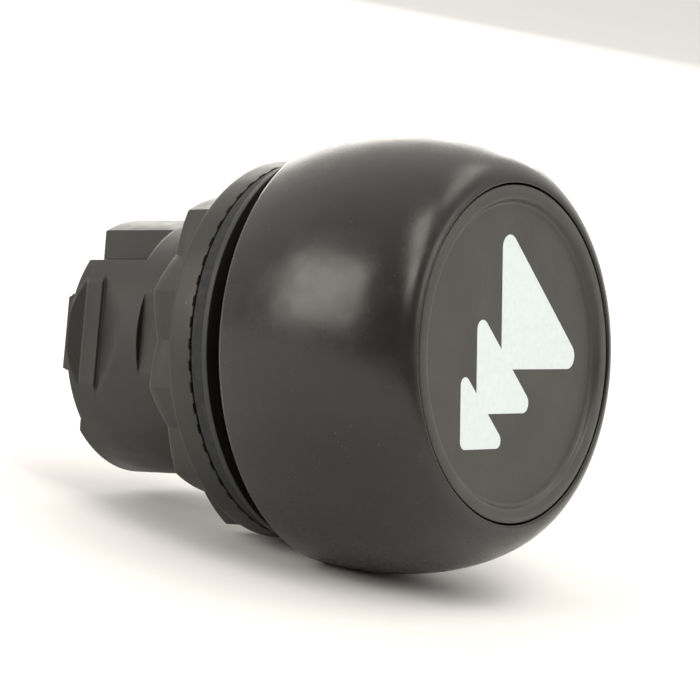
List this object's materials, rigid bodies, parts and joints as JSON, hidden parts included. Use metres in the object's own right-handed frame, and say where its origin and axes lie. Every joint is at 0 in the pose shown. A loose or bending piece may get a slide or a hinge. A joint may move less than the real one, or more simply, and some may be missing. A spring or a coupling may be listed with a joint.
{
  "type": "industrial push button",
  "caption": "Spring-return push button head for a round panel hole, with a rounded shell, a dished button with a direction sign, a gasket and a flanged ring nut.",
  "frame": {"origin": "on the button's axis, where it crosses the panel's front surface (the rear face of the panel gasket)", "axes": "+Y along the axis towards the rear of the panel, so the button's face looks towards -Y; +Z is the top of the direction sign"},
  "size_m": [0.034, 0.0367, 0.034],
  "materials": {
    "shell_plastic": "satin moulded charcoal plastic",
    "cap_plastic": "fine-grained matte dark grey plastic",
    "barrel_plastic": "matte glass-filled charcoal plastic",
    "nut_plastic": "matte glass-filled charcoal plastic",
    "sign_white": "cool white moulded insert",
    "seal_rubber": "blue-black rubber",
    "spring_steel": "bright drawn steel",
    "zinc_steel": "zinc-plated steel",
    "natural_nylon": "natural nylon",
    "actuator_plastic": "red moulded plastic"
  },
  "bodies": {
    "housing": {"mounting_bushing": "barrel_plastic", "head_shell": "shell_plastic", "head_lock_ring": "spring_steel", "shell_seal_ring": "seal_rubber", "spring_seat_washer": "zinc_steel", "guide_bush": "natural_nylon", "lip_seal": "seal_rubber", "seal_retainer": "natural_nylon", "stop_buffer": "seal_rubber", "panel_gasket": "seal_rubber", "return_spring": "spring_steel"},
    "button": {"button_cap": "cap_plastic", "direction_symbol": "sign_white", "cap_carrier": "cap_plastic", "plunger": "natural_nylon", "actuator_foot": "actuator_plastic", "foot_screw": "zinc_steel", "plunger_circlip": "spring_steel"},
    "washer": {"lock_washer": "zinc_steel"},
    "nut": {"mounting_nut": "nut_plastic"}
  },
  "joints": [
    {"name": "button_press", "type": "slide", "parent": "housing", "child": "button", "axis": [0, 1, 0], "range_m": [0, 0.004], "stiffness_N_per_m": 600, "springref_m": -0.002, "deforming": ["return_spring"]},
    {"name": "nut_advance", "type": "slide", "parent": "housing", "child": "washer", "axis": [0, 1, 0], "range_m": [0, 0.006]},
    {"name": "nut_turn", "type": "hinge", "parent": "washer", "child": "nut", "pos_m": [0, 0, 0], "axis": [0, 1, 0], "range_deg": [0, 1440]}
  ],
  "couplings": [
    {"joint": "nut_advance", "follows": "nut_turn", "m_per_rad": 0.00023873}
  ]
}
